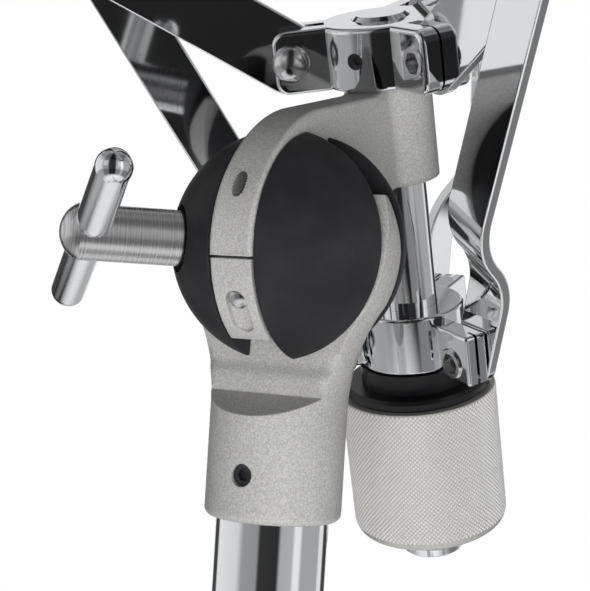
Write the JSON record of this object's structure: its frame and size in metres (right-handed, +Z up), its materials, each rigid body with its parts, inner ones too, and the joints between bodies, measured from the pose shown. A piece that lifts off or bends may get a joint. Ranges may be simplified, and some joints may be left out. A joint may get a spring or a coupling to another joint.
{
  "type": "snare drum stand",
  "caption": "Chromed tripod snare drum stand with a clamped ball tilter and a basket of hinged arms closed by a knurled nut.",
  "frame": {"origin": "on the floor under the axis of the tubes", "axes": "+Z up along the tubes, +X to the viewer's right in the picture, +Y away from the viewer"},
  "size_m": [0.422, 0.3905, 0.7119],
  "materials": {
    "cast_alloy": "bead-blasted casting",
    "chrome": "polished chrome plate",
    "black_nylon": "moulded, fine grain",
    "rubber": "matte black rubber",
    "satin_alloy": "satin with a diamond knurl",
    "zinc": "bright zinc plate",
    "black_steel": "black oxide",
    "bush_nylon": "nylon"
  },
  "bodies": {
    "base": {"base_tube": "chrome", "tube_plug": "rubber", "leg_spider": "cast_alloy", "brace_pins": "zinc", "height_clamp": "cast_alloy", "clamp_nut": "zinc"},
    "collar": {"leg_collar": "cast_alloy", "leg_pins": "zinc"},
    "collar_knob": {"collar_screw": "chrome"},
    "leg_1": {"leg_1": "chrome", "leg_rivets_1": "zinc", "foot_1": "rubber"},
    "leg_2": {"leg_2": "chrome", "leg_rivets_2": "zinc", "foot_2": "rubber"},
    "leg_3": {"leg_3": "chrome", "leg_rivets_3": "zinc", "foot_3": "rubber"},
    "brace_1": {"brace_1": "chrome"},
    "brace_2": {"brace_2": "chrome"},
    "brace_3": {"brace_3": "chrome"},
    "bush": {"tube_bush": "bush_nylon"},
    "clamp_knob": {"clamp_screw": "chrome"},
    "column": {"upper_tube": "chrome", "tilter_base": "cast_alloy", "base_set_screw": "black_steel"},
    "lock": {"memory_lock": "cast_alloy", "lock_screw": "zinc"},
    "ball": {"ball_left": "black_nylon", "ball_front": "black_nylon", "ball_right": "black_nylon", "ball_rear": "black_nylon", "ball_core": "black_nylon", "clamp_insert": "zinc"},
    "clamping_bolt": {"t_bolt": "chrome", "t_bar": "chrome"},
    "tilter": {"tilter_arm": "cast_alloy", "band_clip": "cast_alloy", "band_screw": "zinc", "basket_post": "chrome", "upper_hub": "chrome", "hub_set_screw": "black_steel", "arm_pins": "zinc"},
    "slider": {"lower_hub": "chrome", "strut_screws": "zinc", "rubber_washer": "rubber"},
    "arm_a": {"arm_a": "chrome", "grip_a": "rubber"},
    "arm_b": {"arm_b": "chrome", "grip_b": "rubber"},
    "arm_c": {"arm_c": "chrome", "grip_c": "rubber"},
    "strut_a": {"strut_a": "chrome"},
    "strut_b": {"strut_b": "chrome"},
    "strut_c": {"strut_c": "chrome"},
    "nut": {"basket_nut": "satin_alloy"}
  },
  "joints": [
    {"name": "leg_fold", "type": "slide", "parent": "base", "child": "collar", "axis": [0, 0, 1], "range_m": [0, 0.06597]},
    {"name": "leg_pivot_1", "type": "hinge", "parent": "collar", "child": "leg_1", "pos_m": [0.02944, 0.017, 0.19782], "axis": [-0.5, 0.866, 0], "range_deg": [-0.05, 40.05]},
    {"name": "leg_pivot_2", "type": "hinge", "parent": "collar", "child": "leg_2", "pos_m": [-0.02944, 0.017, 0.19782], "axis": [-0.5, -0.866, 0], "range_deg": [-0.05, 40.05]},
    {"name": "leg_pivot_3", "type": "hinge", "parent": "collar", "child": "leg_3", "pos_m": [0, -0.034, 0.19782], "axis": [1, 0, 0], "range_deg": [-0.05, 40.05]},
    {"name": "brace_pivot_1", "type": "hinge", "parent": "base", "child": "brace_1", "pos_m": [0.02944, 0.017, 0.045], "axis": [-0.5, 0.866, 0], "range_deg": [-40.05, 0.05]},
    {"name": "brace_pivot_2", "type": "hinge", "parent": "base", "child": "brace_2", "pos_m": [-0.02944, 0.017, 0.045], "axis": [-0.5, -0.866, 0], "range_deg": [-40.05, 0.05]},
    {"name": "brace_pivot_3", "type": "hinge", "parent": "base", "child": "brace_3", "pos_m": [0, -0.034, 0.045], "axis": [1, 0, 0], "range_deg": [-40.05, 0.05]},
    {"name": "collar_screw_turn", "type": "hinge", "parent": "collar", "child": "collar_knob", "pos_m": [0, 0.035, 0.21182], "axis": [0, 1, 0], "continuous": true},
    {"name": "column_swivel", "type": "hinge", "parent": "base", "child": "bush", "pos_m": [0, 0, 0.32], "axis": [0, 0, 1], "continuous": true},
    {"name": "column_height", "type": "slide", "parent": "bush", "child": "column", "axis": [0, 0, 1], "range_m": [0, 0.12]},
    {"name": "clamp_screw_turn", "type": "hinge", "parent": "base", "child": "clamp_knob", "pos_m": [-0.02376, -0.01663, 0.318], "axis": [0.5736, -0.8192, 0], "continuous": true},
    {"name": "lock_height", "type": "slide", "parent": "column", "child": "lock", "axis": [0, 0, 1], "range_m": [0, 0.03]},
    {"name": "swing", "type": "hinge", "parent": "column", "child": "ball", "pos_m": [0, 0, 0.452], "axis": [0.4772, 0.8788, 0], "range_deg": [-15, 15]},
    {"name": "clamping_bolt_turn", "type": "hinge", "parent": "ball", "child": "clamping_bolt", "pos_m": [-0.04315, -0.01278, 0.452], "axis": [-0.9588, -0.284, 0], "continuous": true},
    {"name": "tilt", "type": "hinge", "parent": "ball", "child": "tilter", "pos_m": [0, 0, 0.452], "axis": [0.8788, -0.4772, 0], "range_deg": [-26, 6]},
    {"name": "basket_close", "type": "slide", "parent": "tilter", "child": "slider", "axis": [-0.1749, -0.3221, 0.9304], "range_m": [0, 0.01]},
    {"name": "arm_pivot_a", "type": "hinge", "parent": "tilter", "child": "arm_a", "pos_m": [-0.00253, 0.03771, 0.49924], "axis": [-0.0292, 0.9463, 0.3221], "range_deg": [-0.05, 25.03]},
    {"name": "arm_pivot_b", "type": "hinge", "parent": "tilter", "child": "arm_b", "pos_m": [0.03201, 0.01785, 0.49886], "axis": [-0.8377, -0.4479, -0.3125], "range_deg": [-0.05, 25.03]},
    {"name": "arm_pivot_c", "type": "hinge", "parent": "tilter", "child": "arm_c", "pos_m": [0.03085, 0.05555, 0.51169], "axis": [0.8669, -0.4984, -0.0096], "range_deg": [-0.05, 25.03]},
    {"name": "strut_pivot_a", "type": "hinge", "parent": "slider", "child": "strut_a", "pos_m": [0.01244, 0.06251, 0.42772], "axis": [-0.0292, 0.9463, 0.3221], "range_deg": [-0.05, 9.22]},
    {"name": "strut_pivot_b", "type": "hinge", "parent": "slider", "child": "strut_b", "pos_m": [0.04472, 0.04395, 0.42736], "axis": [-0.8377, -0.4479, -0.3125], "range_deg": [-0.05, 9.22]},
    {"name": "strut_pivot_c", "type": "hinge", "parent": "slider", "child": "strut_c", "pos_m": [0.04364, 0.07919, 0.43936], "axis": [0.8669, -0.4984, -0.0096], "range_deg": [-0.05, 9.22]},
    {"name": "nut_spin", "type": "hinge", "parent": "slider", "child": "nut", "pos_m": [0.03974, 0.07319, 0.39882], "axis": [-0.1749, -0.3221, 0.9304], "range_deg": [-5, 1805]}
  ],
  "couplings": [
    {"joint": "leg_pivot_1", "follows": "leg_fold", "rad_per_m": 10.583},
    {"joint": "leg_pivot_2", "follows": "leg_fold", "rad_per_m": 10.583},
    {"joint": "leg_pivot_3", "follows": "leg_fold", "rad_per_m": 10.583},
    {"joint": "brace_pivot_1", "follows": "leg_fold", "rad_per_m": -10.583},
    {"joint": "brace_pivot_2", "follows": "leg_fold", "rad_per_m": -10.583},
    {"joint": "brace_pivot_3", "follows": "leg_fold", "rad_per_m": -10.583},
    {"joint": "arm_pivot_a", "follows": "basket_close", "rad_per_m": 43.592},
    {"joint": "arm_pivot_b", "follows": "basket_close", "rad_per_m": 43.592},
    {"joint": "arm_pivot_c", "follows": "basket_close", "rad_per_m": 43.592},
    {"joint": "strut_pivot_a", "follows": "basket_close", "rad_per_m": 16.002},
    {"joint": "strut_pivot_b", "follows": "basket_close", "rad_per_m": 16.002},
    {"joint": "strut_pivot_c", "follows": "basket_close", "rad_per_m": 16.002},
    {"joint": "nut_spin", "follows": "basket_close", "rad_per_m": 3141.6}
  ]
}
